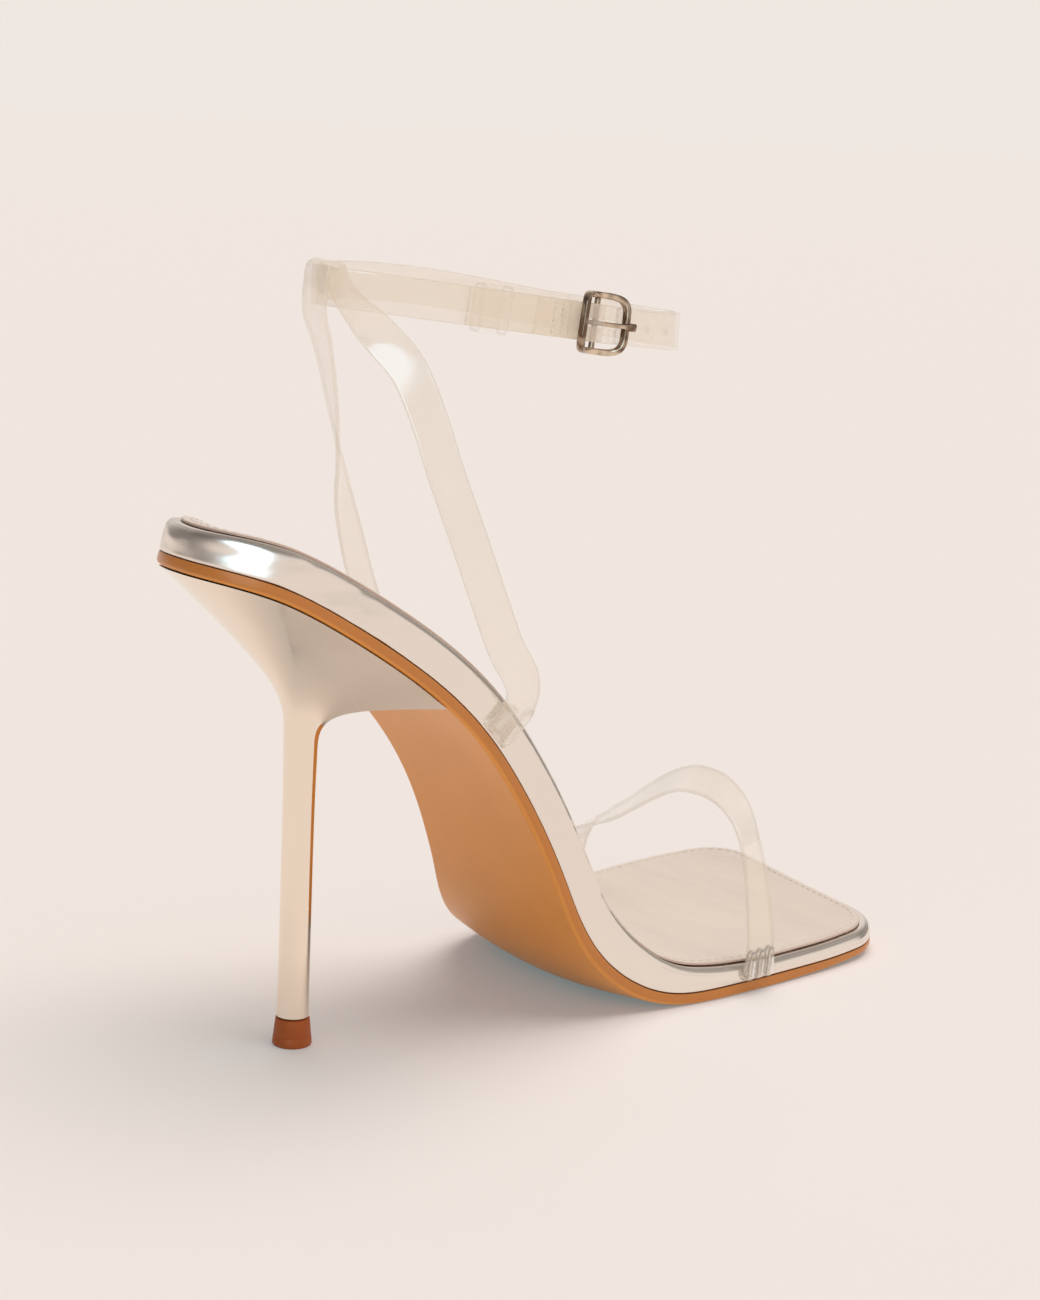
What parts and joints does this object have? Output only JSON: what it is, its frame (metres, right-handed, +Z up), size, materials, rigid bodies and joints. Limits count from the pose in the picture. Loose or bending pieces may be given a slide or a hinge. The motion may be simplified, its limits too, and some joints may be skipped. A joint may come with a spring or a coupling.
{
  "type": "heeled sandal",
  "caption": "Right-foot stiletto sandal with clear straps, a square toe, a padded metallic footbed, a slim metallic heel and a buckled ankle strap.",
  "frame": {"origin": "middle of the top lift's lower face, on the ground under the heel's stem", "axes": "+X to the toe, +Y to the inner side of the foot, +Z up from the ground"},
  "size_m": [0.1962, 0.079, 0.1648],
  "materials": {
    "outsole_tan": "smooth satin tan leather",
    "footbed_metallic": "mirror champagne wrapping",
    "sock_metallic": "satin pinkish beige metallic",
    "heel_metallic": "mirror champagne",
    "lift_brown": "satin brown",
    "strap_clear": "clear, faintly beige",
    "keeper_clear": "clear, faintly beige",
    "buckle_gold": "polished pale gold"
  },
  "bodies": {
    "root": {"outsole": "outsole_tan", "footbed": "footbed_metallic", "insole_sock": "sock_metallic", "heel": "heel_metallic", "top_lift": "lift_brown", "toe_strap": "strap_clear", "sling_strap": "strap_clear", "ankle_strap": "strap_clear", "keeper": "keeper_clear", "buckle_frame": "buckle_gold", "buckle_prong": "buckle_gold"}
  },
  "joints": []
}
